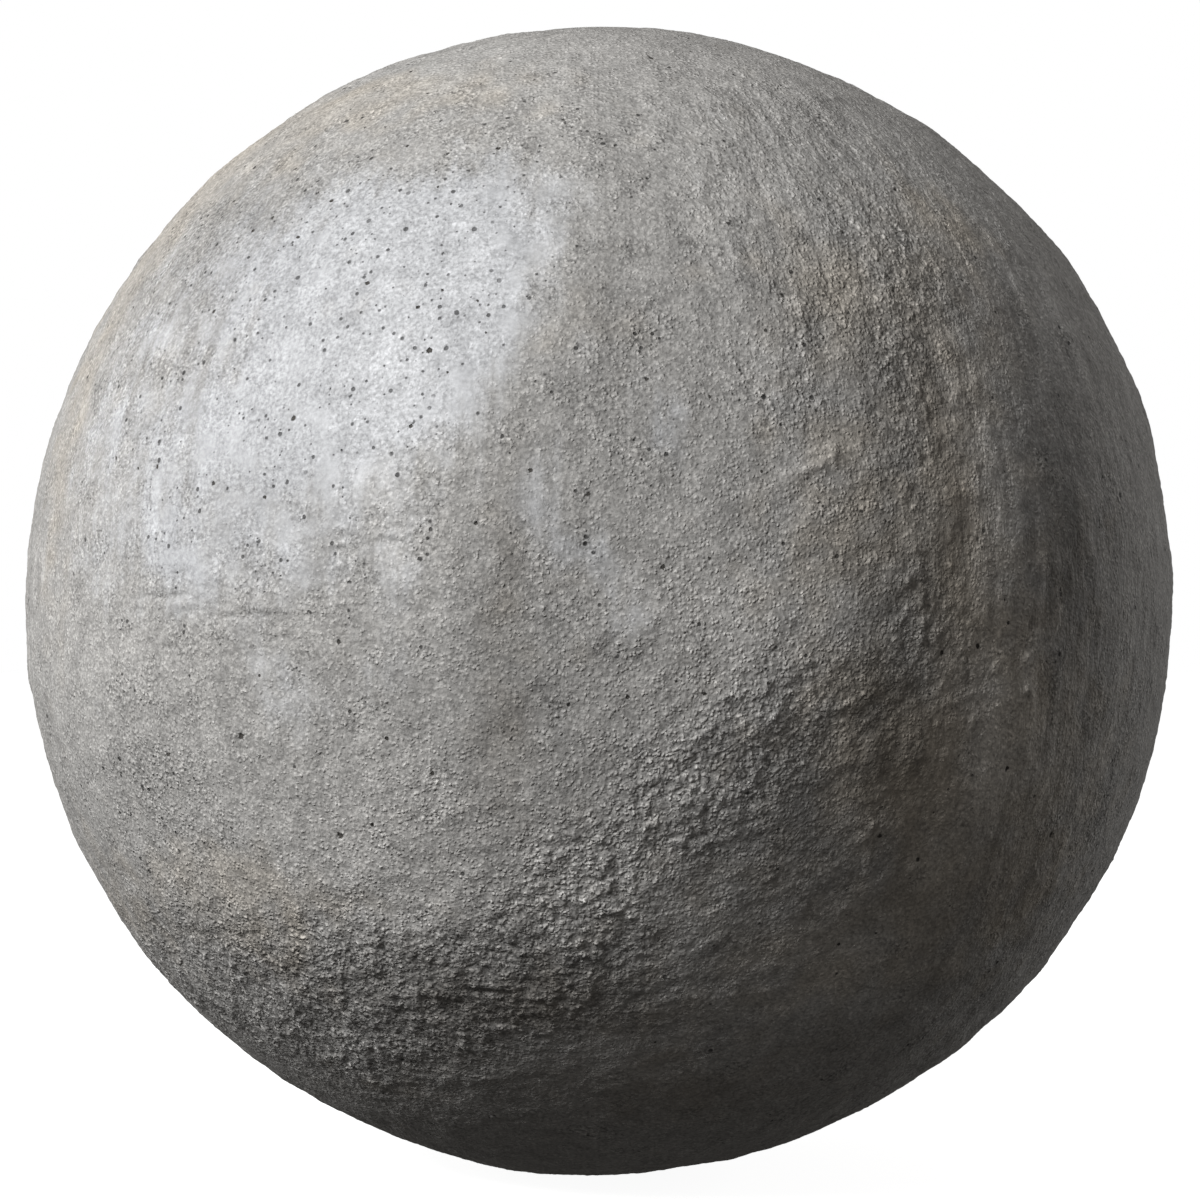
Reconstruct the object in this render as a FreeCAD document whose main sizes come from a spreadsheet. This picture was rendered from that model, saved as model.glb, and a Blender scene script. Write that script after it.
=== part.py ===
import FreeCAD, Part
import os

import Sketcher

# A precast concrete ball that stands on a pavement to keep vehicles off it. It is cast round a tied
# steel cage in a mould of two halves. A threaded ferrule in a recess at the top takes the lifting
# eye, a steel sleeve at the bottom takes the ground dowel, and a loose plug closes the recess.
# The origin is the centre of the flat seat under the ball, with +Z up. Lengths are in millimetres.

doc = FreeCAD.newDocument("concrete_ball_barrier")

# ---------------------------------------------------------------- driving sizes

SIZES = [
    # the ball
    ("ball_radius", 305),
    ("seat_radius", 30),
    # the cage: ribs run from pole to pole, hoops lie inside them
    ("cover", 50),
    ("bar_diameter", 9.5),
    ("cage_gap", 1),
    ("rib_end_angle", 18),
    # the ground dowel's sleeve and its cap
    ("sleeve_bore", 36),
    ("sleeve_wall", 3.2),
    ("sleeve_length", 240),
    ("cap_wall", 2.5),
    ("cap_skirt", 18),
    ("cradle_length", 216),
    ("cradle_gap", 0.5),
    # the lifting recess, its cup and its plug
    ("recess_radius", 36),
    ("cup_wall", 2.5),
    ("cup_floor", 3),
    ("ledge_width", 5),
    ("plug_edge", 14),
    ("plug_clearance", 0.5),
    ("plug_seat_gap", 0.2),
    ("pry_radius", 4),
    ("pry_depth", 5),
    ("collar_room", 16),
    # the lifting ferrule, its wire loop and the bar that the loop pulls on
    ("ferrule_diameter", 30),
    ("thread_bore", 17.5),
    ("thread_length", 45),
    ("ferrule_end", 8),
    ("wire_diameter", 8),
    ("weld_bite", 0.6),
    ("weld_drop", 10),
    ("loop_depth", 125),
    ("lift_bar_length", 300),
    ("lift_bar_gap", 0.6),
    # wire ties and plastic wheel spacers on the cage
    ("tie_wire", 1.6),
    ("tie_gap", 0.8),
    ("tail_length", 16),
    ("wheel_setback", 4),
    ("wheel_width", 10),
    ("wheel_rim", 5),
    ("wheel_hub_wall", 3.5),
    ("wheel_gap", 0.3),
    ("wheel_spoke", 3),
    ("wheel_angle", 15),
]

RIB_COUNT = 6
SPOKE_COUNT = 5
# A wire tie crosses its joint at this angle, in degrees.
TIE_SLANT = 45
# A wheel's slot is this share of the bar's thickness, so that it has to be pushed on.
CLIP_SHARE = 0.8

# Each hoop and its angle down from the top pole, in degrees.
HOOPS = [
    ("top_ring", 24),
    ("upper_hoop", 55),
    ("equator_hoop", 90),
    ("lower_hoop", 125),
    ("bottom_ring", 156),
]

sheet = doc.addObject("Spreadsheet::Sheet", "sizes")
HOOP_SIZES = [(name + "_angle", angle) for name, angle in HOOPS]
for row, (alias, value) in enumerate(SIZES + HOOP_SIZES, start=1):
    sheet.set(f"A{row}", alias)
    sheet.set(f"B{row}", str(value))
    sheet.setAlias(f"B{row}", alias)
doc.recompute()


def size(alias):
    """The value in the sheet's cell of that name."""
    return float(sheet.get(alias))


def cell(text):
    """An expression with each bare alias turned into a reference to its cell in the sheet."""
    aliases = {alias for alias, _ in SIZES + HOOP_SIZES}
    words, word = [], ""
    for letter in text + " ":
        if letter.isalnum() or letter == "_":
            word += letter
            continue
        words.append("sizes." + word if word in aliases else word)
        words.append(letter)
        word = ""
    return "".join(words).strip()


# Heights that several pieces share, each written once as an expression of the sheet.
CENTRE = "sqrt(ball_radius^2 - seat_radius^2)"
RIB_RADIUS = "(ball_radius - cover - bar_diameter / 2)"
HOOP_RADIUS = "(ball_radius - cover - bar_diameter * 1.5 - cage_gap)"
CUP_RADIUS = "(recess_radius + cup_wall)"
CUP_TOP = f"({CENTRE} + sqrt(ball_radius^2 - {CUP_RADIUS}^2))"
LEDGE = f"({CUP_TOP} - plug_edge)"
FERRULE_TOP = f"({LEDGE} - collar_room)"
CUP_BOTTOM = f"({FERRULE_TOP} - cup_floor)"
SLEEVE_RADIUS = "(sleeve_bore / 2 + sleeve_wall)"
LOOP_OFFSET = "(ferrule_diameter / 2 + wire_diameter / 2 - weld_bite)"
LOOP_BEND = f"({FERRULE_TOP} - loop_depth)"
CRADLE_HEIGHT = f"({CENTRE} + {HOOP_RADIUS} * cos(bottom_ring_angle * 1deg) + bar_diameter + cage_gap)"

ORIGIN = FreeCAD.Vector(0, 0, 0)
ALONG_X = FreeCAD.Vector(1, 0, 0)
ALONG_Y = FreeCAD.Vector(0, 1, 0)
ALONG_Z = FreeCAD.Vector(0, 0, 1)
# This lays a piece made along +Z down along +Y.
LAID_DOWN = FreeCAD.Placement(ORIGIN, FreeCAD.Rotation(ALONG_X, -90))


# ---------------------------------------------------------------- ways to make a piece


def bind(thing, **expressions):
    """Binds properties of an object to expressions of the sheet.

    A dot in a property's name is written as two underscores.
    """
    for name, text in expressions.items():
        thing.setExpression(name.replace("__", "."), cell(text))
    return thing


def primitive(kind, label, **expressions):
    """A Part primitive with its sizes bound to the sheet."""
    return bind(doc.addObject("Part::" + kind, label), **expressions)


def union(label, shapes):
    """One shape from several that touch or overlap."""
    joined = doc.addObject("Part::MultiFuse", label)
    joined.Shapes = shapes
    return joined


def cut(label, base, tool):
    """The base with the tool taken away."""
    taken = doc.addObject("Part::Cut", label)
    taken.Base = base
    taken.Tool = tool
    return taken


def plane(body, role):
    """One of a body's own origin planes."""
    return next(feature for feature in body.Origin.OriginFeatures if feature.Role == role)


def sketch_on(body, role, name):
    """A new sketch on one of a body's own origin planes."""
    sketch = body.newObject("Sketcher::SketchObject", name)
    sketch.AttachmentSupport = (plane(body, role), [""])
    sketch.MapMode = "FlatFace"
    return sketch


def hold_point(sketch, line, end, name, across, up):
    """Ties one end of a line to a radius and a height, each an expression of the sheet."""
    for axis, text in (("X", across), ("Y", up)):
        label = name + axis
        sketch.addConstraint(Sketcher.Constraint("Distance" + axis, line, end, 0.0))
        sketch.renameConstraint(sketch.ConstraintCount - 1, label)
        sketch.setExpression("Constraints." + label, cell(text))


def turned(label, corners):
    """A body turned about the Z axis from a closed outline of (radius, height) corners."""
    body = doc.addObject("PartDesign::Body", label)
    sketch = sketch_on(body, "XZ_Plane", label + "_outline")
    places = [FreeCAD.Vector(value_of(across), value_of(up), 0) for across, up in corners]
    count = len(places)
    for i in range(count):
        sketch.addGeometry(Part.LineSegment(places[i], places[(i + 1) % count]), False)
    for i in range(count):
        sketch.addConstraint(Sketcher.Constraint("Coincident", i, 2, (i + 1) % count, 1))
    for i, (across, up) in enumerate(corners):
        hold_point(sketch, i, 1, f"corner{i}", across, up)
    turn = body.newObject("PartDesign::Revolution", label + "_turn")
    turn.Profile = sketch
    turn.ReferenceAxis = (sketch, ["V_Axis"])
    turn.Angle = 360
    return body


def value_of(text):
    """What an expression of the sheet comes to now, for the first place of a sketch's corner."""
    return float(sheet.evalExpression(cell(text)))


# ---------------------------------------------------------------- the cage

for name, _ in HOOPS:
    angle = f"({name}_angle * 1deg)"
    hoop = primitive("Torus", name, Radius1=f"{HOOP_RADIUS} * sin{angle}", Radius2="bar_diameter / 2")
    bind(hoop, Placement__Base__z=f"{CENTRE} + {HOOP_RADIUS} * cos{angle}")

for number in range(1, RIB_COUNT + 1):
    label = f"cage_rib_{number}"
    rib = doc.addObject("PartDesign::Body", label)
    section = sketch_on(rib, "XY_Plane", label + "_section")
    middle = FreeCAD.Vector(value_of(RIB_RADIUS), 0, 0)
    section.addGeometry(Part.Circle(middle, ALONG_Z, size("bar_diameter") / 2), False)
    hold_point(section, 0, 3, "middle", RIB_RADIUS, "0")
    section.addConstraint(Sketcher.Constraint("Diameter", 0, size("bar_diameter")))
    section.renameConstraint(section.ConstraintCount - 1, "thickness")
    section.setExpression("Constraints.thickness", cell("bar_diameter"))
    bend = rib.newObject("PartDesign::Revolution", label + "_bend")
    bend.Profile = section
    bend.ReferenceAxis = (section, ["V_Axis"])
    bend.Midplane = True
    bind(bend, Angle="180 - 2 * rib_end_angle")
    turn_about_z = FreeCAD.Rotation(ALONG_Z, (number - 1) * 360 / RIB_COUNT)
    rib.Placement = FreeCAD.Placement(ORIGIN, turn_about_z)
    bind(rib, Placement__Base__z=CENTRE)

ribs = [doc.getObject(f"cage_rib_{number}") for number in range(1, RIB_COUNT + 1)]
hoops = [doc.getObject(name) for name, _ in HOOPS]

# ---------------------------------------------------------------- the ground dowel's sleeve

sleeve = turned("dowel_sleeve", [
    ("sleeve_bore / 2", "0"),
    (SLEEVE_RADIUS, "0"),
    (SLEEVE_RADIUS, "sleeve_length"),
    ("sleeve_bore / 2", "sleeve_length"),
])

sleeve_cap = turned("sleeve_cap", [
    ("0", "sleeve_length"),
    (SLEEVE_RADIUS, "sleeve_length"),
    (SLEEVE_RADIUS, "sleeve_length - cap_skirt"),
    (f"{SLEEVE_RADIUS} + cap_wall", "sleeve_length - cap_skirt"),
    (f"{SLEEVE_RADIUS} + cap_wall", "sleeve_length + cap_wall"),
    ("0", "sleeve_length + cap_wall"),
])

# Two straight bars lie on the bottom ring, one each side of the sleeve, and keep it upright.
cradle_bars = []
for side, name in ((-1, "left"), (1, "right")):
    bar = primitive("Cylinder", f"cradle_{name}", Radius="bar_diameter / 2", Height="cradle_length")
    bar.Placement = LAID_DOWN
    bind(
        bar,
        Placement__Base__x=f"{side} * ({SLEEVE_RADIUS} + bar_diameter / 2 + cradle_gap)",
        Placement__Base__y="-cradle_length / 2",
        Placement__Base__z=CRADLE_HEIGHT,
    )
    cradle_bars.append(bar)
sleeve_cradle = doc.addObject("Part::Compound", "sleeve_cradle")
sleeve_cradle.Links = cradle_bars

# ---------------------------------------------------------------- the lifting recess and its ferrule

cup = turned("recess_cup", [
    ("ferrule_diameter / 2", CUP_BOTTOM),
    (CUP_RADIUS, CUP_BOTTOM),
    (CUP_RADIUS, CUP_TOP),
    ("recess_radius", CUP_TOP),
    ("recess_radius", LEDGE),
    ("recess_radius - ledge_width", LEDGE),
    ("recess_radius - ledge_width", FERRULE_TOP),
    ("ferrule_diameter / 2", FERRULE_TOP),
])

ferrule = turned("lifting_ferrule", [
    ("thread_bore / 2", FERRULE_TOP),
    ("thread_bore / 2", f"{FERRULE_TOP} - thread_length"),
    ("0", f"{FERRULE_TOP} - thread_length"),
    ("0", f"{FERRULE_TOP} - thread_length - ferrule_end"),
    ("ferrule_diameter / 2", f"{FERRULE_TOP} - thread_length - ferrule_end"),
    ("ferrule_diameter / 2", FERRULE_TOP),
])

# The loop is a length of wire bent into a U, its two legs welded to the ferrule's sides.
loop_legs = []
for side, name in ((-1, "left"), (1, "right")):
    leg = primitive("Cylinder", f"loop_leg_{name}", Radius="wire_diameter / 2")
    bind(
        leg,
        Height="loop_depth - cup_floor - weld_drop",
        Placement__Base__x=f"{side} * {LOOP_OFFSET}",
        Placement__Base__z=LOOP_BEND,
    )
    loop_legs.append(leg)
loop_bend = primitive("Torus", "loop_bend", Radius1=LOOP_OFFSET, Radius2="wire_diameter / 2")
loop_bend.Angle3 = 180
loop_bend.Placement = LAID_DOWN
bind(loop_bend, Placement__Base__z=LOOP_BEND)
bent_wire = union("bent_wire", loop_legs + [loop_bend])
ferrule_loop = cut("ferrule_loop", bent_wire, ferrule)

# A straight bar passes through the loop and spreads the pull of a lift into the concrete.
lift_bar = primitive("Cylinder", "lift_bar", Radius="bar_diameter / 2", Height="lift_bar_length")
lift_bar.Placement = LAID_DOWN
inside_bend = f"({LOOP_OFFSET} - wire_diameter / 2)"
bind(
    lift_bar,
    Placement__Base__y="-lift_bar_length / 2",
    Placement__Base__z=f"{LOOP_BEND} - ({inside_bend} - bar_diameter / 2 - lift_bar_gap)",
)

# ---------------------------------------------------------------- the plug that closes the recess

# The whole ball, flat at the seat: the sphere's lower angle ends it there.
blank = primitive("Sphere", "ball_blank", Radius="ball_radius")
bind(blank, Angle1="-acos(seat_radius / ball_radius)", Placement__Base__z=CENTRE)

# The plug is a short cylinder that keeps the ball's own curve on top. A half-round notch in its
# edge takes the tip of a pry bar.
plug_radius = "(recess_radius - plug_clearance)"
plug_blank = primitive("Cylinder", "plug_blank", Radius=plug_radius, Height="2 * plug_edge")
bind(plug_blank, Placement__Base__z=f"{LEDGE} + plug_seat_gap")
domed = doc.addObject("Part::Common", "plug_domed")
domed.Base = plug_blank
domed.Tool = blank
notch = primitive("Cylinder", "pry_notch", Radius="pry_radius", Height="2 * plug_edge")
bind(
    notch,
    Placement__Base__y="-" + plug_radius,
    Placement__Base__z=f"{CUP_TOP} - pry_depth",
)
recess_plug = cut("recess_plug", domed, notch)

# ---------------------------------------------------------------- ties and spacers


def on_cage(shape, down, around, radius):
    """A copy of a shape made at the origin with +Z outward and +X down the rib, set on the cage.

    It goes to that radius, at an angle down from the top pole and an angle around the ball.
    """
    placed = shape.copy()
    to_place = FreeCAD.Placement(FreeCAD.Vector(0, 0, radius), FreeCAD.Rotation())
    tilt = FreeCAD.Placement(ORIGIN, FreeCAD.Rotation(ALONG_Y, down))
    turn = FreeCAD.Placement(ALONG_Z * value_of(CENTRE), FreeCAD.Rotation(ALONG_Z, around))
    placed.Placement = turn * tilt * to_place
    return placed


def wire_tie():
    """A ring of wire slanted round one crossing of a rib and a hoop, with its twisted tail inward."""
    half_stack = size("bar_diameter") + size("cage_gap") / 2
    wire = size("tie_wire") / 2
    ring_radius = half_stack + size("tie_gap") + wire
    slanted = FreeCAD.Rotation(ALONG_Z, TIE_SLANT).multVec(ALONG_Y)
    ring = Part.makeTorus(ring_radius, wire, ORIGIN, slanted)
    twisted_radius = size("tie_wire")
    tail = Part.makeCylinder(twisted_radius, size("tail_length"), ALONG_Z * -ring_radius, -ALONG_Z)
    return ring.fuse(tail)


def wheel_spacer():
    """A plastic wheel clipped on a rib, its axle along the rib.

    It has a rim, a hub and spokes, with a slot on its inner side that goes over the bar.
    """
    width = size("wheel_width")
    rim_radius = size("ball_radius") - value_of(RIB_RADIUS) - size("wheel_setback")
    bore = size("bar_diameter") / 2 + size("wheel_gap")
    hub_radius = bore + size("wheel_hub_wall")
    start = ALONG_X * (-width / 2)

    def ring(outer, inner):
        """A flat ring of the wheel's width between two radii."""
        whole = Part.makeCylinder(outer, width, start, ALONG_X)
        return whole.cut(Part.makeCylinder(inner, width, start, ALONG_X))

    wheel = ring(rim_radius, rim_radius - size("wheel_rim")).fuse(ring(hub_radius, bore))
    root = bore + size("wheel_hub_wall") / 2
    reach = rim_radius - size("wheel_rim") / 2 - root
    for number in range(SPOKE_COUNT):
        spoke = Part.makeBox(width, size("wheel_spoke"), reach)
        spoke.translate(FreeCAD.Vector(-width / 2, -size("wheel_spoke") / 2, root))
        spoke.rotate(ORIGIN, ALONG_X, number * 360 / SPOKE_COUNT)
        wheel = wheel.fuse(spoke)
    slot_width = size("bar_diameter") * CLIP_SHARE
    slot = Part.makeBox(2 * width, slot_width, 2 * rim_radius)
    slot.translate(FreeCAD.Vector(-width, -slot_width / 2, -2 * rim_radius))
    return wheel.cut(slot)


def group(label, shapes):
    """Identical pieces that share one node, each a solid of its own."""
    feature = doc.addObject("Part::Feature", label)
    feature.Shape = Part.makeCompound(shapes)
    feature.Placement = FreeCAD.Placement()
    return feature


rib_angles = [number * 360 / RIB_COUNT for number in range(RIB_COUNT)]
crossing_radius = value_of(f"({RIB_RADIUS} + {HOOP_RADIUS}) / 2")
one_tie = wire_tie()
tie_wires = group("tie_wires", [
    on_cage(one_tie, size(name + "_angle"), around, crossing_radius)
    for name, _ in HOOPS
    for around in rib_angles
])

one_wheel = wheel_spacer()
wheel_spacers = group("wheel_spacers", [
    on_cage(one_wheel, 90 + (-1) ** number * size("wheel_angle"), around, value_of(RIB_RADIUS))
    for number, around in enumerate(rib_angles)
])

# ---------------------------------------------------------------- the concrete

# The recess and the dowel's bore stay open; every cast-in piece leaves its own shape in the concrete.
recess_space = primitive("Cylinder", "recess_space", Radius=CUP_RADIUS)
bind(recess_space, Height="2 * (plug_edge + collar_room)", Placement__Base__z=CUP_BOTTOM)
sleeve_space = primitive("Cylinder", "sleeve_space", Radius=SLEEVE_RADIUS, Height="sleeve_length")
cap_space = primitive("Cylinder", "cap_space", Radius=f"{SLEEVE_RADIUS} + cap_wall")
bind(cap_space, Height="cap_skirt + cap_wall", Placement__Base__z="sleeve_length - cap_skirt")
ferrule_space = primitive("Cylinder", "ferrule_space", Radius="ferrule_diameter / 2")
bind(
    ferrule_space,
    Height="thread_length + ferrule_end",
    Placement__Base__z=f"{FERRULE_TOP} - thread_length - ferrule_end",
)
hollows = union("hollows", [recess_space, sleeve_space, cap_space, ferrule_space, bent_wire])
hollowed = cut("hollowed_ball", blank, hollows)
cage_steel = doc.addObject("Part::Compound", "cage_steel")
cage_steel.Links = ribs + hoops + [lift_bar, sleeve_cradle, tie_wires, wheel_spacers]
concrete_ball = cut("concrete_ball", hollowed, cage_steel)

# ---------------------------------------------------------------- check and write

doc.recompute()

pieces = [concrete_ball] + hoops + ribs + [
    tie_wires, wheel_spacers, lift_bar, sleeve, sleeve_cap, sleeve_cradle,
    ferrule, ferrule_loop, cup, recess_plug,
]

for thing in doc.Objects:
    if "Invalid" in thing.State or "Error" in thing.State:
        raise RuntimeError(f"{thing.Label} did not build: {thing.State}")
for piece in pieces:
    if piece.Shape.isNull() or not piece.Shape.isValid():
        raise RuntimeError(f"{piece.Label} has no valid shape")

os.makedirs("parts", exist_ok=True)
for piece in pieces:
    piece.Shape.exportStep(f"parts/{piece.Label}.step")
    print(f"{piece.Label}: {len(piece.Shape.Solids)} solids, {piece.Shape.Volume / 1000:.2f} cm3")
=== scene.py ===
import math

import bpy
import numpy as np
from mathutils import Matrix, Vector


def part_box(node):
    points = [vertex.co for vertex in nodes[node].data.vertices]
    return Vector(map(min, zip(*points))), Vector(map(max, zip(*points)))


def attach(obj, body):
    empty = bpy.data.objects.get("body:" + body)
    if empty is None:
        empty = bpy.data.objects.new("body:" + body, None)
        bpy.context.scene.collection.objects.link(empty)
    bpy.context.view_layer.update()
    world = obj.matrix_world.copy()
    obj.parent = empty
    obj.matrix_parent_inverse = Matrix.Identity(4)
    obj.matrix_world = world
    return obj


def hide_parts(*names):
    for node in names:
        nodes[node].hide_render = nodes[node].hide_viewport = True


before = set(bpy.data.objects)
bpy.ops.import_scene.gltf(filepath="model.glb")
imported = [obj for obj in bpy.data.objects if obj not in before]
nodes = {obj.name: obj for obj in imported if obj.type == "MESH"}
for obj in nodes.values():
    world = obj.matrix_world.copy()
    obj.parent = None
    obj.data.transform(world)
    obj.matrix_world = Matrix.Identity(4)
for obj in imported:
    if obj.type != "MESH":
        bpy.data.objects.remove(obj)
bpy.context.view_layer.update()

# ---------------------------------------------------------------- the shape of the cast ball
# The ball is one pour of grey concrete, cast round its steel cage in two half shells of a mould.
# Its skin is left as it came out: smooth and pale where the mould was tight, sandy and pitted where
# it leaked or dried early, with a broken line round the equator where the two half shells met.

MM = 0.001
BALL_RADIUS = 0.305
SEAT_RADIUS = 0.030
CUP_GAP = 0.1 * MM
RIM_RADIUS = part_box("recess_cup")[1].x + CUP_GAP
CENTRE_Z = math.sqrt(BALL_RADIUS**2 - SEAT_RADIUS**2)
# The skin is a grid of rows from the recess's rim down to the seat, and columns round the ball.
DRAFT = 1
COLUMNS = 1360 // DRAFT
CROWN_ROWS, GORE_ROWS, FOOT_ROWS = 56 // DRAFT, 516 // DRAFT, 62 // DRAFT
CROWN_END, FOOT_START = 22.0, 158.0
FIRST_COLUMN = -22.5

rim_angle = math.degrees(math.asin(RIM_RADIUS / BALL_RADIUS))
seat_angle = 180 - math.degrees(math.asin(SEAT_RADIUS / BALL_RADIUS))
down = np.radians(np.concatenate([
    np.linspace(rim_angle, CROWN_END, CROWN_ROWS, endpoint=False),
    np.linspace(CROWN_END, FOOT_START, GORE_ROWS, endpoint=False),
    np.linspace(FOOT_START, seat_angle, FOOT_ROWS + 1),
]))[:, None]
around = np.radians(FIRST_COLUMN + np.arange(COLUMNS) * 360 / COLUMNS)[None, :]


def outward(down, around):
    """Unit directions from an angle down from the top pole and an angle around from the front.

    x is sin(down) sin(around), y is -sin(down) cos(around) and z is cos(down).
    """
    ring = np.sin(down)
    return np.stack(np.broadcast_arrays(
        ring * np.sin(around), -ring * np.cos(around), np.cos(down)
    ), axis=-1).astype(np.float32)


facing = outward(down, around)
# The same places in millimetres from the ball's centre, which the random patterns read.
BALL_MM = BALL_RADIUS / MM
on_ball = facing * np.float32(BALL_MM)


def cloud(places, pitch, seed):
    """Soft random values, mostly between -1 and 1, whose lumps lie about two pitches apart.

    Space is cut into cubes one pitch wide, and each corner of a cube has a random slope. A place
    takes each corner's slope times its offset from that corner, weighted by 6t^5 - 15t^4 + 10t^3.
    """
    draw = np.random.default_rng(seed)
    shuffle = draw.permutation(256).astype(np.int32)
    slopes = draw.normal(size=(256, 3)).astype(np.float32)
    slopes *= 3 / np.linalg.norm(slopes, axis=1, keepdims=True)
    place = places / np.float32(pitch)
    cell = np.floor(place).astype(np.int32)
    inside = place - cell
    ease = inside**3 * (inside * (inside * 6 - 15) + 10)
    total = np.zeros(places.shape[:-1], np.float32)
    for corner in np.ndindex(2, 2, 2):
        index = shuffle[(cell[..., 0] + corner[0]) & 255]
        index = shuffle[(index + cell[..., 1] + corner[1]) & 255]
        index = shuffle[(index + cell[..., 2] + corner[2]) & 255]
        weight = np.prod(np.where(np.array(corner, bool), ease, 1 - ease), axis=-1)
        total += weight * np.einsum("...i,...i", slopes[index], inside - np.float32(corner))
    return total


def ramp(values, low, high):
    """0 below low, 1 above high, and 3t^2 - 2t^3 between them."""
    t = np.clip((values - low) / (high - low), 0, 1)
    return t * t * (3 - 2 * t)


def spots(ovals):
    """The sum of soft ovals on the ball, each as long, lat, half width, half height, turn, strength.

    With east and north the angles from an oval's middle, turned by its turn, an oval gives its
    strength times exp(-(east / half width)^2 - (north / half height)^2). All are in degrees.
    """
    total = np.zeros(facing.shape[:2], np.float32)
    for long, lat, wide, tall, turn, strength in ovals:
        middle = outward(np.radians(90.0 - lat), np.radians(float(long)))
        east_side = np.float32([math.cos(math.radians(long)), math.sin(math.radians(long)), 0])
        east = np.degrees(np.arctan2(facing @ east_side, facing @ middle))
        north = np.degrees(np.arcsin(np.clip(facing @ np.cross(middle, east_side), -1, 1)))
        c, s = math.cos(math.radians(turn)), math.sin(math.radians(turn))
        across, along = east * c + north * s, north * c - east * s
        total += strength * np.exp(-((across / wide) ** 2) - (along / tall) ** 2)
    return total


latitude = 90 - np.degrees(down)
# Runs of wet cement draw streaks down the ball, closer together towards the poles. A pattern read
# at these places runs round the equator in millimetres, and is drawn out about ten times downwards.
STREAK_STEP = 0.55
down_the_ball = np.concatenate([
    np.broadcast_to(outward(np.float64(math.pi / 2), around) * BALL_MM, facing.shape)[..., :2],
    np.broadcast_to(latitude[..., None] * STREAK_STEP, facing.shape[:2] + (1,)),
], axis=-1).astype(np.float32)
streaks = 0.6 * cloud(down_the_ball, 9, 11) + 0.5 * cloud(down_the_ball, 4.5, 12)
scores = cloud(down_the_ball, 2.3, 13)

fine = cloud(on_ball, 4.2, 21)
blotches = 0.5 * cloud(on_ball, 34, 22) + 0.35 * cloud(on_ball, 13, 23) + 0.2 * fine

# Where the mould was tight, the skin is smooth and pale.
PALE = [
    (-32, 33, 13, 10, 0, 0.8), (-18, 32, 10, 9, 0, 0.9), (-23, 22, 13, 10, 10, 1.0),
    (-15, 24, 7, 9, 0, 0.7), (-28, 13, 12, 8, 0, 0.7), (-42, 12, 10, 9, 0, 0.6),
    (-58, 15, 8, 14, 0, 0.5), (-40, 2, 14, 6, 0, 0.5), (-14, 38, 8, 8, 0, 0.4),
    (-22, 2, 10, 6, 0, 0.3), (-48, 30, 9, 9, 20, 0.3),
    (-6, 9, 3, 4, 0, 0.6), (6, 15, 3, 4, 0, 0.6), (0, 3, 5, 2.5, -30, 0.6), (4, -2, 3, 2, 0, 0.45),
    (19, 12, 2.5, 1.5, 20, 0.5), (-3, -12, 5, 3, 20, 0.4), (-25, -8, 7, 4, 0, 0.45),
    (110, 25, 16, 18, 10, 0.8), (140, -5, 14, 20, 0, 0.6), (175, 35, 18, 12, 0, 0.9),
    (-160, 10, 15, 13, -20, 0.8), (-125, 28, 13, 16, 0, 0.7), (-110, -8, 12, 12, 0, 0.6),
    (120, -40, 16, 10, 0, 0.5), (-170, -30, 12, 10, 0, 0.5),
]
# Where fines leaked out or the mix was dry, the skin is sandy.
ROUGH = [
    (31, 20, 5, 16, 0, 0.8), (1, 20, 5, 12, 0, 0.6), (-6, 0, 8, 11, 0, 0.5),
    (14, -11, 9, 6, 30, 1.2), (7, -18, 8, 5, 30, 1.2), (-3, -27, 7, 7, 30, 1.1),
    (-30, -34, 20, 6, -5, 1.1), (-14, -38, 14, 6, 5, 1.0), (-47, -15, 8, 7, 0, 0.5),
    (-15, -17, 8, 4, 0, 0.5), (21, 27, 7, 9, 0, 0.6), (30, -3, 5, 5, 0, 0.6),
    (26, -13, 5, 10, 0, 0.6), (37, -9, 5, 8, 0, 0.5), (20, 9, 7, 6, 0, 0.5),
    (-38, -46, 18, 8, 0, 1.0), (-62, -38, 16, 8, 0, 0.8), (35, 34, 6, 10, 20, 0.6),
    (95, -28, 18, 8, 10, 1.0), (130, 12, 8, 15, 0, 0.7), (160, -38, 22, 8, 0, 1.1),
    (-150, -22, 15, 9, 20, 0.9), (-120, -42, 20, 8, 0, 1.0), (-95, 15, 7, 16, 0, 0.6),
    (-140, 48, 14, 8, 0, 0.6), (100, 50, 16, 8, 0, 0.5),
]
# Rust and formwork oil leave brownish stains.
WARM = [
    (0, 25, 6, 5, 0, 0.5), (-9, 1, 5, 7, 0, 0.4), (25, 27, 8, 6, 0, 0.6), (21, 31, 6, 5, 0, 0.4),
    (44, 37, 9, 6, 0, 0.6), (-66, -30, 12, 7, 0, 0.7), (-42, -26, 8, 5, 0, 0.6),
    (-70, 36, 9, 14, 0, 0.8), (-62, 50, 16, 8, 0, 0.9), (-36, 56, 18, 6, 0, 0.8),
    (-65, 12, 5, 20, 0, 0.7), (32, 8, 14, 30, 0, 0.7), (45, -20, 20, 20, 0, 0.8),
    (14, -34, 20, 12, 0, 0.5), (20, 2, 8, 18, 0, 0.3),
    (-46.4, -26.1, 8, 4, 0, 0.5), (-31.7, -28.1, 7, 4, 0, 0.5),
    (-38, -35.1, 8, 4, 0, 0.5), (-33, -50.6, 9, 4, 0, 0.5),
    (120, 0, 10, 8, 0, 0.7), (150, 40, 14, 7, 0, 0.6), (-150, 30, 9, 7, 0, 0.7),
    (-130, -10, 10, 9, 0, 0.6), (170, -15, 12, 6, 0, 0.6),
]
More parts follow.
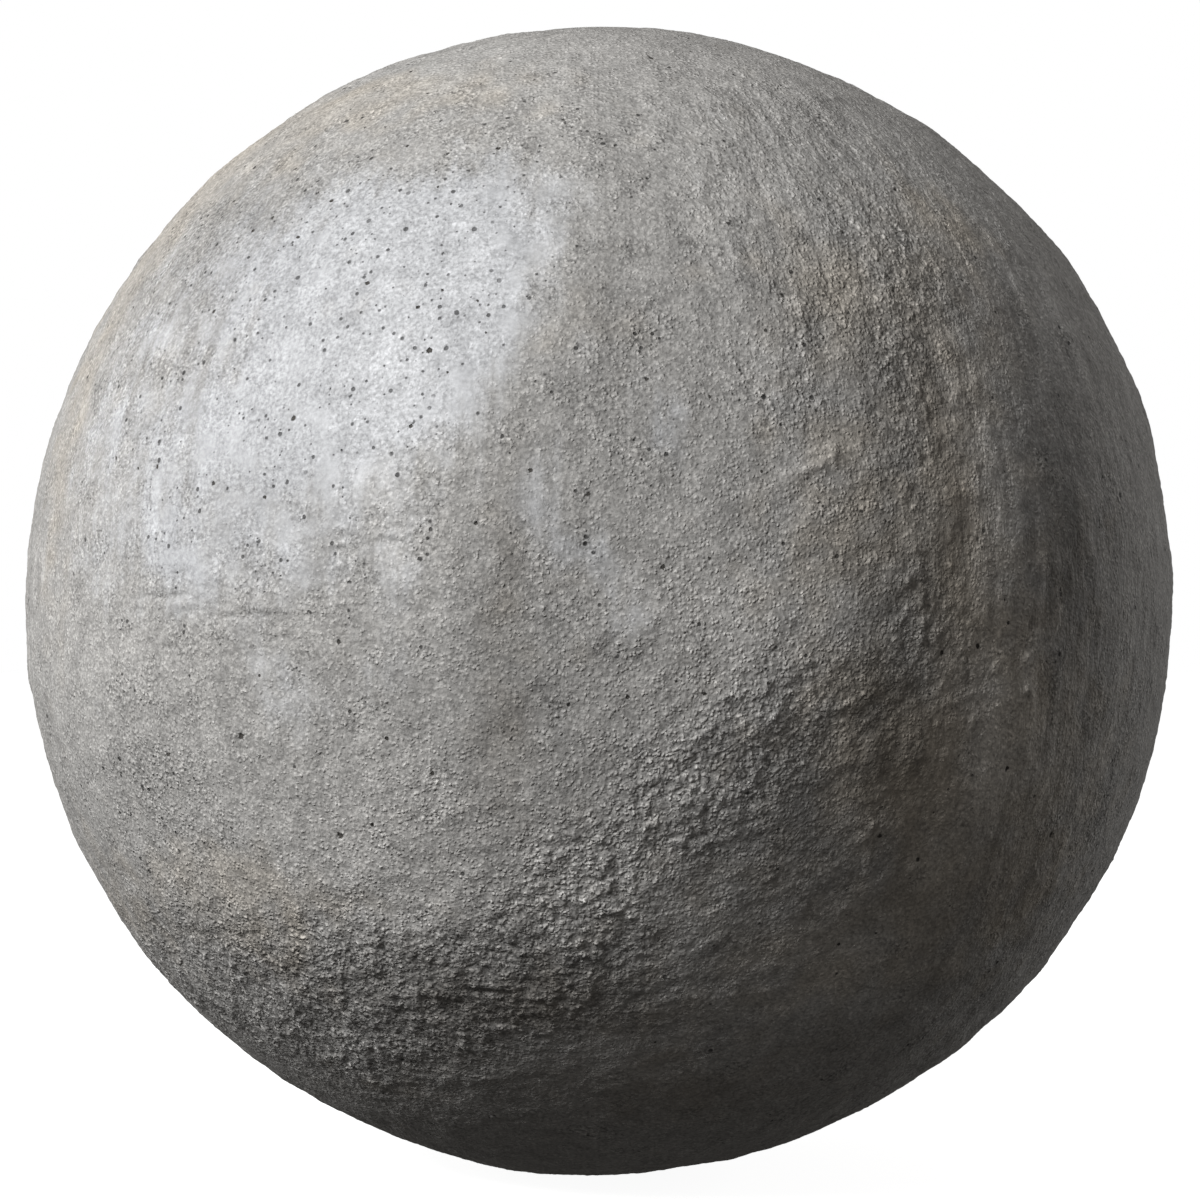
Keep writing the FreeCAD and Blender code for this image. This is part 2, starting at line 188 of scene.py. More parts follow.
# Damp, dense concrete is darker and smoother.
DAMP = [
    (33, 10, 4, 22, 0, 0.75), (27, -14, 7, 7, 35, 0.9), (44, 27, 5, 10, 0, 0.5),
    (-8, 8, 3.5, 16, 0, 0.42), (-9, -14, 4, 9, 0, 0.5), (-10, -38, 16, 5, 0, 0.5),
    (12, -52, 25, 10, 0, 0.5), (45, -28, 14, 12, 0, 0.5),
    (150, -20, 8, 14, 0, 0.4), (-100, -25, 9, 12, 0, 0.4),
]
# The cement skin is thicker and lighter in some places (over 0) and thinner in others.
SKIN_TONE = [
    (-9, 1, 4, 10, 0, -0.18), (0, 22, 6, 13, 0, -0.18), (12, -2, 9, 7, 0, 0.36),
    (18, -18, 4, 5, 0, -0.18), (27, 9, 5, 18, 0, -0.20), (37, -13, 6, 8, 0, 0.55),
    (37, 9, 5, 11, 0, 0.42), (46, 12, 6.5, 16, 0, -0.26), (46, 4, 7, 10, 0, -0.16),
    (-16, -26, 20, 6, 0, 0.30),
    (-46, 36, 11, 12, 0, -0.20), (-18, 14, 7, 14, 0, 0.15), (25, -38, 10, 6, 0, 0.27),
    (27, -12, 4, 7, 0, -0.20), (3, -25, 7, 5, 0, 0.15), (-15, -38, 9, 5, 0, -0.16),
    (-9, 30, 4, 6, 0, 0.12), (-24, -17, 13, 6, 0, 0.22), (10, -49, 12, 5, 0, 0.20),
    (-60, -4, 8, 10, 0, 0.08), (5, 62, 30, 10, 0, 0.12), (5, -20, 9, 8, 0, 0.14),
    (14, -22.5, 7, 4, 0, -0.20), (-16, 14, 6, 16, 0, 0.06),
    (60, 0, 7, 16, 0, 0.06), (22.7, -4.3, 3.5, 6, 0, -0.12),
    (31.8, -7.9, 4, 4, 0, 0.1), (23.1, -32.5, 8, 4, 0, 0.14), (0, -42.3, 6, 4, 0, 0.13),
    (-4.6, -31.4, 8, 3.5, 0, -0.1), (34.1, -43.1, 8, 4, 0, -0.12), (-7.3, -7.6, 4, 4, 0, -0.09),
    (-3.4, 7.3, 6, 3.5, 0, -0.1), (-4.2, 22.6, 7, 4, 0, 0.07), (35.4, 23.5, 5, 5, 0, -0.09),
    (8.8, 31.4, 5, 4, 0, -0.07), (-40.8, 7.6, 5, 4, 0, -0.08), (-32.9, -15.2, 4, 4, 0, -0.09),
    (7.9, -14.8, 4, 4, 0, 0.09), (19.5, 12.3, 2.4, 0.5, 24, 0.3),
    (100, 30, 12, 20, 0, 0.15), (135, -25, 14, 10, 0, -0.18), (-165, 0, 10, 16, 0, 0.15),
    (-120, 5, 9, 22, 0, -0.16), (-95, -30, 10, 10, 0, 0.14),
]
pale = ramp(spots(PALE) + 0.30 * blotches + 0.16 * streaks, 0.18, 1.12)
rough = ramp(spots(ROUGH) + 0.22 * blotches, 0.10, 1.15)
warm = ramp(spots(WARM) + 0.25 * cloud(on_ball, 17, 24), 0.15, 1.0)
damp = ramp(spots(DAMP) + 0.18 * blotches, 0.15, 0.85)
tone = spots(SKIN_TONE) + 0.06 * cloud(on_ball, 15, 44) + 0.04 * cloud(on_ball, 6.5, 45)
# Pinholes and grit come in clusters, with blank smooth skin between them.
PINHOLED = [
    (-45, 38, 16, 14, 0, 0.7), (-46, -16, 9, 8, 0, 0.9), (-8, 46, 14, 8, 0, 0.6),
    (60, -22, 9, 20, 0, 0.5),
]
pores = ramp(0.8 * spots(PALE) + spots(PINHOLED) + 0.8 * cloud(on_ball, 17, 42) + 0.15, 0.35, 1.1)
# The sides were dragged upright as the mould came away.
DRAGGED = [
    (50, 0, 22, 40, 0, 1.0), (22, 30, 16, 16, 0, 0.8), (38, 48, 16, 12, 0, 0.9),
    (-78, 5, 14, 40, 0, 0.5), (-8, 8, 10, 12, 0, 0.5), (110, -10, 18, 30, 0, 0.8),
    (-140, 10, 20, 30, 0, 0.7),
]
dragged = ramp(spots(DRAGGED) + 0.25 * blotches, 0.15, 0.95)

# Broad swells of the skin, in millimetres, out of round as a hand-finished mould leaves it.
SWELLS = [
    (80, -9, 7, 8, 0, -0.8), (79, -28, 8, 7, 0, -0.3), (77, -41, 8, 5, 0, 0.6), (71, -59, 20, 8, 0, -0.5),
    (42, -77, 20, 5, 0, -0.7), (-35, -78, 22, 3, 0, 1.6), (-79, -30, 9, 12, 0, 0.7),
    (-80, -6, 7, 6, 0, 0.3), (-79, 30, 9, 22, 0, -0.8), (-31, 79, 30, 3, 0, -0.7),
    (42, 77, 26, 3, 0, 0.5), (74, 53, 12, 4, 0, 0.6), (78, 35, 9, 9, 0, 1.4), (80, 18, 8, 5, 0, 0.5),
    (80, 6, 8, 7, 0, -1.0), (78, 24, 9, 7, 0, 1.0), (73, 60, 14, 8, 0, -1.0),
    (120, 10, 20, 24, 0, 1.0), (165, -20, 22, 18, 0, -0.9),
    (-150, 25, 24, 18, 0, 0.9), (-110, -25, 18, 20, 0, -0.8),
]
# Small lumps and ridges of cement stand proud of the skin, and scored lines (under 0) are sunk in it.
LUMPS = [
    (29, 0, 0.45, 0.7, 0, 1.4), (29, -3.2, 0.5, 0.6, 0, 1.4), (42, -8, 0.5, 0.5, 0, 1.3),
    (4.2, -18, 0.5, 0.5, 0, 1.5), (0.6, -23, 0.4, 0.6, 0, 1.3), (26, -20, 0.4, 0.4, 0, 1.2),
    (25, -28, 0.4, 0.4, 0, 1.3), (6.2, 12, 0.3, 0.9, 0, 0.8),
    (7.5, -21.2, 0.45, 0.5, 0, 1.3), (8.1, -16.3, 0.4, 0.5, 0, 1.2), (16.5, -24.8, 0.4, 0.4, 0, 1.1),
    (31.8, -24.2, 0.45, 0.5, 0, 1.3), (32.5, -26.7, 0.4, 0.4, 0, 1.1), (31.2, -34.3, 0.4, 0.4, 0, 1.2),
    (27.5, 1.7, 0.4, 0.5, 0, 1.2), (41.6, -5.1, 0.6, 0.4, 20, 1.2), (13.4, -11.4, 0.4, 0.5, 0, 1.0),
    (18.5, 11.2, 1.8, 0.38, 22, 1.1), (21, 12.8, 0.35, 1.0, -10, 0.9),
    (-41.8, 0.3, 5.0, 0.3, 0, -1.0), (-42.5, 1.0, 4.5, 0.4, 0, 0.4), (-31.8, -1.5, 4.0, 0.28, 0, -0.9),
    (-32, -0.8, 4.0, 0.35, 0, 0.4), (-17.8, 4.8, 2.6, 0.28, 0, -0.7), (-18, 5.5, 2.4, 0.35, 0, 0.3),
    (-21, 6.9, 3.2, 0.28, 0, -0.5), (-12.8, -36.9, 2.2, 0.35, 0, -1.0), (-13, -36.1, 2.0, 0.45, 0, 0.7),
    (118, 6, 0.5, 0.6, 0, 0.9), (152, -12, 0.6, 0.5, 0, 0.9),
    (-140, 20, 0.5, 0.7, 0, 0.8), (-118, -18, 0.5, 0.5, 0, 0.9), (170, 22, 1.8, 0.35, 15, 0.5),
]
grain = 0.4 * fine + 0.6 * np.maximum(cloud(on_ball, 2.7, 26), -0.15)
crumbs = np.maximum(cloud(on_ball, 3.0, 27) - 0.3, 0)
chunks = np.maximum(cloud(on_ball, 6.5, 34), -0.4) + 0.6 * cloud(on_ball, 12, 35)
# The line where the half moulds met is worn off in most places, and the pour left thin level laps.
SEAM_HALF_WIDTH = 0.45
LAP_FLATNESS = 6
SEAM_SEEN = [(-40, 0, 16, 6, 0, 0.9), (0, 0, 28, 6, 0, -1.0), (130, 0, 30, 6, 0, 0.4)]
LAPS_SEEN = [
    (-40, -1, 16, 4, 0, 1), (-19, 5, 8, 3, 0, 0.8), (-15, -38, 25, 8, 0, 0.5), (140, 0, 30, 5, 0, 0.8),
]
seam_wander = 0.5 * cloud(down_the_ball, 60, 28)
at_seam = np.exp(-(((latitude + seam_wander) / SEAM_HALF_WIDTH) ** 2))
seam_left = ramp(cloud(on_ball, 22, 29) + spots(SEAM_SEEN), 0.1, 0.9)
laps = cloud(on_ball * np.float32([1, 1, LAP_FLATNESS]), 14, 30) * spots(LAPS_SEEN)
# How sandy each place is: least where the skin is pale or damp, most where it leaked.
sandy = (0.66 + 0.50 * rough) * (1 - 0.82 * pale) * (1 - 0.28 * damp) + 0.22 * pores * (1 - rough)
# The skin's height over the true ball, each layer in millimetres, from broad swells to fine scores.
height = (
    spots(SWELLS) + spots(LUMPS)
    + 0.45 * cloud(on_ball, 72, 31) + 0.48 * cloud(on_ball, 33, 32) + 0.28 * cloud(on_ball, 14, 33)
    + 0.36 * grain * sandy + 0.92 * crumbs * rough**1.5 + 0.14 * chunks * (1 + 2 * rough)
    + 0.35 * at_seam * seam_left + 0.50 * laps
    + (0.15 * streaks + 0.11 * scores) * (1 - 0.7 * rough) * dragged
)
# The skin runs true to the recess's rim and to the edge of the seat.
to_rim = ramp(np.degrees(down), rim_angle, rim_angle + 2.5)
to_seat = ramp(-np.degrees(down), -seat_angle, -seat_angle + 2.0)
height *= to_rim * to_seat

# ---------------------------------------------------------------- bug holes
# Air bubbles caught against the mould leave round holes a few millimetres wide. Each vertex near a
# hole keeps its offset from the hole's middle, in hole radii, so a material can draw the mouth.

# The larger holes, each as long and lat in degrees and radius in millimetres. The rest are scattered.
HOLES = [
    (-33, 39, 1.5), (-24, 29, 1.4), (-16, 22, 1.7), (-29, 16, 1.6), (-25, -21, 2.0), (-34, -12, 2.1),
    (-45, 12, 1.3), (-31, 9, 1.2), (-17, 15, 1.2), (-6, 11, 1.4), (-1, 9, 1.2), (-40, 61, 1.5),
    (-43, 44, 1.3), (-13, 45, 1.5), (-5, 49, 1.4), (-26, 46, 1.2), (51, -22, 1.9), (27, -21, 1.4),
    (9, -8, 1.2), (-43, 36, 1.3), (-43, 27, 1.4), (-52, 13, 1.4), (-41, 37.5, 1.1), (-44, -14, 1.5),
    (-19, -12, 1.4), (-15, -15, 1.3),
]
HOLE_COUNT = 300
HOLE_GAP = 9.0
NEAR_HOLE = 3.4
HOLE_MOUTH = 0.72
HOLE_DEPTH = 0.8
NEAR_ROWS, NEAR_COLUMNS = 4, 6

draw = np.random.default_rng(41)
listed = np.array(HOLES)
scattered_rise = draw.uniform(-0.93, 0.97, HOLE_COUNT)
scattered_long = draw.uniform(-180, 180, HOLE_COUNT)
scattered_radius = 0.55 + 0.7 * draw.random(HOLE_COUNT) ** 3
hole_lat = np.concatenate([listed[:, 1], np.degrees(np.arcsin(scattered_rise))])
hole_long = np.concatenate([listed[:, 0], scattered_long])
hole_radius = np.concatenate([HOLE_MOUTH * listed[:, 2], scattered_radius])
hole_middle = outward(np.radians(90 - hole_lat), np.radians(hole_long)) * np.float32(BALL_MM)
apart = np.linalg.norm(hole_middle[:, None] - hole_middle[None], axis=-1)
earlier = np.tri(len(hole_radius), k=-1, dtype=bool)
kept = ~((apart < HOLE_GAP) & earlier).any(axis=1)
hole_middle, hole_radius = hole_middle[kept], hole_radius[kept]
hole_lat, hole_long = hole_lat[kept], hole_long[kept]

FAR = 9.0
hole_offset = facing * np.float32(FAR)
hole_depth = np.zeros(facing.shape[:2], np.float32)
row_of = np.searchsorted(down[:, 0], np.radians(90 - hole_lat))
column_of = np.round((hole_long - FIRST_COLUMN) * COLUMNS / 360).astype(int)
for row_step in range(-NEAR_ROWS, NEAR_ROWS + 1):
    for column_step in range(-NEAR_COLUMNS, NEAR_COLUMNS + 1):
        rows = np.clip(row_of + row_step, 0, len(down) - 1)
        columns = (column_of + column_step) % COLUMNS
        offset = on_ball[rows, columns] - hole_middle
        gap = np.linalg.norm(offset, axis=1)
        near = gap < NEAR_HOLE
        spot = rows[near], columns[near]
        hole_offset[spot] = offset[near] / hole_radius[near, None]
        bowl = np.exp(-((gap[near] / hole_radius[near]) ** 2))
        hole_depth[spot] = HOLE_DEPTH * hole_radius[near] * bowl
height -= hole_depth * to_rim * to_seat

# ---------------------------------------------------------------- the ball's solid pieces
# The one casting is shown as eight upright gores, a crown round the recess and a foot round the
# sleeve, like the segments of an orange. Each is a closed solid that runs in to the ball's centre.

skin = facing * (np.float32(BALL_RADIUS) + height[..., None] * np.float32(MM))
skin[..., 2] += np.float32(CENTRE_Z)
along_row = np.roll(skin, -1, axis=1) - np.roll(skin, 1, axis=1)
down_column = np.gradient(skin, axis=0)
skin_normal = np.cross(down_column, along_row)
skin_normal /= np.linalg.norm(skin_normal, axis=-1, keepdims=True)

# Painted shade: the low spots of the fine relief, which darken the skin's colour.
painted_hollow_shade = np.clip(-(grain + 0.4 * cloud(on_ball, 9, 43)) * 0.5, 0, 1)
# What the finish reads at each point of the skin.
MARKS = {
    "pale": pale, "sandy": sandy, "warm": warm, "damp": damp, "pores": pores,
    "low": painted_hollow_shade, "streak": streaks * 0.5, "tone": tone, "dragged": dragged,
}


def solid(name, points, normals, skin_faces, wall_faces, marks, hole):
    """A mesh object of skin faces, smooth with the given normals, and flat wall faces.

    Each group of faces comes with the place of each of its corners on the piece's own map.
    """
    groups = skin_faces + wall_faces
    corners = np.concatenate([faces.ravel() for faces, _ in groups]).astype(np.int32)
    sizes = np.concatenate([np.full(len(faces), faces.shape[1]) for faces, _ in groups])
    smooth = np.repeat([True] * len(skin_faces) + [False] * len(wall_faces),
                       [len(faces) for faces, _ in groups])
    mesh = bpy.data.meshes.new(name)
    mesh.vertices.add(len(points))
    mesh.vertices.foreach_set("co", points.astype(np.float32).ravel())
    mesh.loops.add(len(corners))
    mesh.loops.foreach_set("vertex_index", corners)
    mesh.polygons.add(len(sizes))
    mesh.polygons.foreach_set("loop_start", (np.cumsum(sizes) - sizes).astype(np.int32))
    mesh.polygons.foreach_set("use_smooth", smooth)
    mesh.update(calc_edges=True)
    layer = mesh.uv_layers.new(name="OFBake")
    uv = np.concatenate([uv.reshape(-1, 2) for _, uv in groups])
    layer.data.foreach_set("uv", uv.astype(np.float32).ravel())
    for mark, values in marks.items():
        mesh.attributes.new(mark, "FLOAT", "POINT").data.foreach_set(
            "value", values.astype(np.float32))
    mesh.attributes.new("hole", "FLOAT_VECTOR", "POINT").data.foreach_set(
        "vector", hole.astype(np.float32).ravel())
    corner_normals = normals[corners]
    corner_normals[~np.repeat(smooth, sizes)] = 0
    mesh.normals_split_custom_set(corner_normals)
    piece = bpy.data.objects.new(name, mesh)
    bpy.context.scene.collection.objects.link(piece)
    return piece


def with_extra(values, count):
    """The values with rows of zeros for points that are not on the skin."""
    values = values.reshape(-1, *values.shape[2:]) if values.ndim > 1 else values
    return np.concatenate([values, np.zeros((count, *values.shape[1:]), values.dtype)])


GORES = 8
MAP_EDGE = 0.01
MAP_SKIN_FOOT = 0.08
MAP_FAN_TOP, MAP_FAN_FOOT = 0.07, 0.005


def gore(number):
    """One upright segment: a patch of the skin's grid, closed by a fan from its border inwards.

    On its map the skin fills the square down to a strip at the foot, which holds the fan.
    """
    width = COLUMNS // GORES
    rows = np.arange(CROWN_ROWS, CROWN_ROWS + GORE_ROWS + 1)
    columns = (number * width + np.arange(width + 1)) % COLUMNS
    patch = np.ix_(rows, columns)
    index = np.arange(len(rows) * len(columns)).reshape(len(rows), len(columns))
    quads = np.stack([index[:-1, :-1], index[1:, :-1], index[1:, 1:], index[:-1, 1:]], -1)
    quads = quads.reshape(-1, 4)
    across, up = np.meshgrid(np.linspace(MAP_EDGE, 1 - MAP_EDGE, len(columns)),
                             np.linspace(1 - MAP_EDGE, MAP_SKIN_FOOT, len(rows)))
    uv = np.stack([across, up], -1).reshape(-1, 2)
    border = np.concatenate([index[:-1, 0], index[-1, :-1], index[:0:-1, -1], index[0, :0:-1]])
    apex = np.full(len(border), index.size)
    fan = np.stack([np.roll(border, -1), border, apex], -1)
    step = np.arange(len(border)) / len(border)
    width_of_one = 1 / len(border)
    fan_uv = np.stack([
        np.stack([step + width_of_one, np.full_like(step, MAP_FAN_TOP)], -1),
        np.stack([step, np.full_like(step, MAP_FAN_TOP)], -1),
        np.stack([step + width_of_one / 2, np.full_like(step, MAP_FAN_FOOT)], -1),
    ], axis=1)
    points = with_extra(skin[patch], 1)
    points[-1] = 0, 0, CENTRE_Z
    return solid(
        f"ball_gore_{number + 1}", points, with_extra(skin_normal[patch], 1),
        [(quads, uv[quads])], [(fan, fan_uv)],
        {mark: with_extra(values[patch], 1) for mark, values in MARKS.items()},
        with_extra(hole_offset[patch], 1) + FAR * (np.arange(index.size + 1) == index.size)[:, None],
    )


def band(outer, inner):
    """Faces between two rings of points, the inner with as many points as the outer or half."""
    if len(outer) == len(inner):
        return [np.stack([outer, np.roll(outer, -1), np.roll(inner, -1), inner], -1)]
    first, second, third = outer[0::2], outer[1::2], np.roll(outer[0::2], -1)
    after = np.roll(inner, -1)
    return [np.concatenate([
        np.stack([first, second, inner], -1),
        np.stack([second, after, inner], -1),
        np.stack([second, third, after], -1),
    ])]


SMALL_RING = 0.21
REACH_FAN, REACH_RIM, REACH_SKIN, REACH_WALL = 0.995, 0.93, 0.35, 0.30


def cap(name, rows, walls, upwards):
    """The crown or the foot: rings of the skin's grid, then rings of its hollow, down to the axis.

    The skin loses every second column after its first ring, and again where its rings grow small.
    The hollow's rings are given as radius and height, and the last is a single point on the axis.
    A fan closes the outside inwards. Its map is round: each ring has its own reach from the middle.
    """
    turns, reach, picked, rings = [], [], [], []
    count = COLUMNS
    spread = np.linspace(REACH_RIM, REACH_SKIN, len(rows))
    for order, row in enumerate(rows):
        small = count == COLUMNS // 2 and math.sin(down[row, 0]) < SMALL_RING
        if order == 1 or (order > 1 and small):
            count //= 2
        columns = np.arange(0, COLUMNS, COLUMNS // count)
        rings.append(len(picked) + np.arange(count))
        picked.extend(row * COLUMNS + columns)
        turns.append(around[0, columns])
        reach.append(np.full(count, spread[order]))
    picked = np.array(picked)
    points = skin.reshape(-1, 3)[picked]
    normals = skin_normal.reshape(-1, 3)[picked]
    wall_rings = []
    for order, (radius, height_up) in enumerate(walls):
        wall_rings.append(len(points) + np.arange(count))
        angle = around[0, columns]
        ring = np.stack([radius * np.sin(angle), -radius * np.cos(angle),
                         np.full(count, height_up)], -1)
        points = np.concatenate([points, ring])
        turns.append(angle)
        reach.append(np.full(count, REACH_WALL * (1 - (order + 1) / (len(walls) + 1))))
    axis, apex = len(points), len(points) + 1
    points = np.concatenate([points, [[0, 0, walls[-1][1]], [0, 0, CENTRE_Z]]])
    turns, reach = np.concatenate(turns + [[0, 0]]), np.concatenate(reach + [[0, REACH_FAN]])

    def on_map(faces, turned):
        """Each corner's place on a round map, at its turn and its reach from the middle."""
        far = 0.5 * reach[faces]
        return np.stack([0.5 + far * np.sin(turned), 0.5 + far * np.cos(turned)], -1)

    skin_faces = [faces for a, b in zip(rings, rings[1:]) for faces in band(a, b)]
    all_walls = [rings[-1]] + wall_rings
    wall_faces = [faces for a, b in zip(all_walls, all_walls[1:]) for faces in band(a, b)]
    last = all_walls[-1]
    wall_faces.append(np.stack([last, np.roll(last, -1), np.full(len(last), axis)], -1))
    first = rings[0]
    fan = np.stack([np.roll(first, -1), first, np.full(len(first), apex)], -1)
    fan_turns = turns[fan]
    fan_turns[:, 2] = turns[first] + math.pi / COLUMNS
    pairs = [(faces, on_map(faces, turns[faces])) for faces in skin_faces]
    wall_pairs = [(faces, on_map(faces, turns[faces])) for faces in wall_faces]
    wall_pairs.append((fan, on_map(fan, fan_turns)))
    if not upwards:
        pairs = [(faces[:, ::-1], uv[:, ::-1]) for faces, uv in pairs]
        wall_pairs = [(faces[:, ::-1], uv[:, ::-1]) for faces, uv in wall_pairs]
    extra = len(points) - len(picked)
    hole = np.full((len(points), 3), FAR)
    hole[:len(picked)] = hole_offset.reshape(-1, 3)[picked]
    return solid(
        name, points, np.concatenate([normals, np.zeros((extra, 3), np.float32)]), pairs, wall_pairs,
        {mark: np.concatenate([values.ravel()[picked], np.zeros(extra)])
         for mark, values in MARKS.items()},
        hole,
    )


cup_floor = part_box("recess_cup")[0].z
SLEEVE_GAP = 0.05 * MM
CAP_TOP_GAP = 0.2 * MM
sleeve_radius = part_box("dowel_sleeve")[1].x + SLEEVE_GAP
cap_low, cap_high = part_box("sleeve_cap")
cap_radius = cap_high.x + SLEEVE_GAP
ball_pieces = [gore(number) for number in range(GORES)]
ball_pieces.append(cap(
    "ball_crown", np.arange(CROWN_ROWS, -1, -1),
    [(RIM_RADIUS, 0.5 * (cup_floor + CENTRE_Z + BALL_RADIUS)), (RIM_RADIUS, cup_floor)], True,
))
ball_pieces.append(cap(
    "ball_foot", np.arange(CROWN_ROWS + GORE_ROWS, len(down)),
    [(sleeve_radius, 0.0), (sleeve_radius, cap_low.z), (cap_radius, cap_low.z),
     (cap_radius, cap_high.z + CAP_TOP_GAP)], False,
))

# ---------------------------------------------------------------- the concrete's finish
# Grey cement skin over sand. Smooth cement is pale and a little cool, sandy patches are mid grey and damp
# patches dark. Low spots, the dips between grains, pinholes and bug holes are painted darker than the
# skin round them, as shade.


def add_node(tree, kind, inputs=(), **settings):
    """A shader node with its settings. Its inputs are values, or sockets to link."""
    made = tree.nodes.new("ShaderNode" + kind)
    for name, value in settings.items():
        setattr(made, name, value)
    for key, value in dict(inputs).items():
        if isinstance(value, bpy.types.NodeSocket):
            tree.links.new(value, made.inputs[key])
        else:
            made.inputs[key].default_value = value
    return made


def sums(tree, operation, *values):
    """One step of arithmetic between values or sockets."""
    return add_node(tree, "Math", dict(enumerate(values)), operation=operation).outputs[0]


def scaled(tree, value, low, high, to_low=0.0, to_high=1.0):
    """A value's range low to high turned into to_low to to_high, and held there beyond it."""
    return add_node(tree, "MapRange", {
        "Value": value, "From Min": low, "From Max": high, "To Min": to_low, "To Max": to_high,
    }).outputs["Result"]


def noise(tree, where, scale, detail=2.0, rough_share=0.5):
    """Soft noise from 0 to 1, its lumps about one over scale metres apart."""
    return add_node(tree, "TexNoise", {
        "Vector": where, "Scale": scale, "Detail": detail, "Roughness": rough_share,
    }).outputs["Fac"]


def grit(tree, where, scale, wide=0.62):
    """Round grains from 0 to 1, one in each cell of a scatter, each of its own height."""
    cells = add_node(tree, "TexVoronoi", {"Vector": where, "Scale": scale})
    own = add_node(tree, "SeparateColor", {0: cells.outputs["Color"]}).outputs[0]
    dome = add_node(tree, "MapRange", {
        "Value": cells.outputs["Distance"],
        "From Min": 0.08, "From Max": wide, "To Min": 1.0, "To Max": 0.0,
    }, interpolation_type="SMOOTHSTEP").outputs["Result"]
    return sums(tree, "MULTIPLY", dome, own)


def blend_colours(tree, share, first, second):
    """The first colour where the share is 0 and the second where it is 1."""
    made = add_node(tree, "Mix", {0: share}, data_type="RGBA")
    for socket, value in ((6, first), (7, second)):
        if isinstance(value, bpy.types.NodeSocket):
            tree.links.new(value, made.inputs[socket])
        else:
            made.inputs[socket].default_value = (*value, 1)
    return made.outputs[2]


def darkened(tree, colour, share):
    """A colour times a share, the same on all three channels."""
    made = add_node(tree, "VectorMath", {0: colour}, operation="SCALE")
    tree.links.new(share, made.inputs["Scale"])
    return made.outputs[0]


def new_material(name):
    """An empty material: its tree, its main shader, and the places of points on the piece."""
    material = bpy.data.materials.new(name)
    material.use_nodes = True
    tree = material.node_tree
    shader = tree.nodes["Principled BSDF"]
    where = add_node(tree, "TexCoord").outputs["Object"]
    return material, tree, shader, where


CEMENT_GREY = (0.292, 0.286, 0.276)
CEMENT_PALE = (0.346, 0.351, 0.361)
CEMENT_DAMP = (0.158, 0.143, 0.124)
STAIN_BROWN = (0.330, 0.295, 0.245)
# The painted shadow inside bug holes.
HOLE_SHADOW = (0.045, 0.042, 0.038)

concrete, tree, shader, where = new_material("cast_concrete")
marks = {
    mark: add_node(tree, "Attribute", attribute_name=mark).outputs["Fac"] for mark in MARKS
}
# A bug hole's mouth has a ragged edge, and inside it the colour is painted darkest, as shadow.
hole_vector = add_node(tree, "Attribute", attribute_name="hole").outputs["Vector"]
from_hole = add_node(tree, "VectorMath", {0: hole_vector}, operation="LENGTH").outputs["Value"]
ragged = scaled(tree, noise(tree, where, 620), 0.3, 0.7, -0.42, 0.42)
mouth = scaled(tree, sums(tree, "ADD", from_hole, ragged), 0.75, 1.15, 1.0, 0.0)

mottle = noise(tree, where, 45, 5.0, 0.62)
speckle = noise(tree, where, 560, 2.0, 0.6)
# Sand grains are domes of two sizes, pushed about by noise so that no grain is regular.
warped = add_node(tree, "VectorMath", {
    0: add_node(tree, "TexNoise", {"Vector": where, "Scale": 380.0, "Detail": 1.0}).outputs["Color"],
    1: (0.0016, 0.0016, 0.0016), 2: where,
}, operation="MULTIPLY_ADD").outputs[0]
small_grit = grit(tree, warped, 540)
large_grit = grit(tree, warped, 330)
# The mould left scratches about three times as long as they are wide.
upright = add_node(tree, "VectorMath", {0: where, 1: (1.0, 1.0, 0.3)}, operation="MULTIPLY").outputs[0]
drag_marks = noise(tree, upright, 330, 3.0, 0.6)
tint = noise(tree, where, 16, 3.0)
# A scatter's cells hold a pinhole each where the skin has pores, and fewer elsewhere. Few are wide.
pin = add_node(tree, "TexVoronoi", {"Vector": where, "Scale": 270.0})
pin_here, pin_own, _ = add_node(tree, "SeparateColor", {0: pin.outputs["Color"]}).outputs
pin_spare = sums(tree, "SUBTRACT", pin_here, sums(tree, "MULTIPLY", marks["pores"], 0.54))
pin_share = scaled(tree, pin_spare, -0.05, 0.05, 1.0, 0.0)
pin_size = sums(tree, "POWER", pin_own, 4.0)
pin_far = sums(tree, "MULTIPLY_ADD", pin_size, -0.22, pin.outputs["Distance"])
pin_mouth = sums(tree, "MULTIPLY", scaled(tree, pin_far, 0.05, 0.18, 1.0, 0.0), pin_share)

colour = blend_colours(tree, marks["pale"], CEMENT_GREY, CEMENT_PALE)
colour = blend_colours(tree, sums(tree, "MULTIPLY", marks["damp"], 0.85), colour, CEMENT_DAMP)
stain_share = sums(tree, "MULTIPLY", marks["warm"], scaled(tree, tint, 0.35, 0.65, 0.2, 0.6))
colour = blend_colours(tree, stain_share, colour, STAIN_BROWN)
shade = scaled(tree, mottle, 0.25, 0.75, 0.90, 1.10)
shade = sums(tree, "MULTIPLY", shade, sums(tree, "ADD", marks["tone"], 1.0))
# Dark and light grains show most where the skin is sandy or full of pinholes.
grains_shown = sums(tree, "ADD", 0.25, sums(tree, "ADD", marks["sandy"],
                                            sums(tree, "MULTIPLY", marks["pores"], 0.35)))
grains_shown = sums(tree, "MULTIPLY", grains_shown, scaled(tree, speckle, 0.3, 0.7, -0.34, 0.34))
shade = sums(tree, "MULTIPLY", shade, sums(tree, "ADD", grains_shown, 1.0))
# Painted shade in the dips between sand grains, and a faint painted highlight on the grains' tops.
both_grits = sums(tree, "ADD", small_grit, large_grit)
painted_grit_shading = sums(tree, "MULTIPLY", marks["sandy"], scaled(tree, both_grits, 0.0, 0.8, -0.28, 0.12))
shade = sums(tree, "MULTIPLY", shade, sums(tree, "ADD", painted_grit_shading, 1.0))
# Painted shade: the low spots of the skin are darkened.
shade = sums(tree, "MULTIPLY", shade, scaled(tree, marks["low"], 0.0, 1.0, 1.04, 0.62))
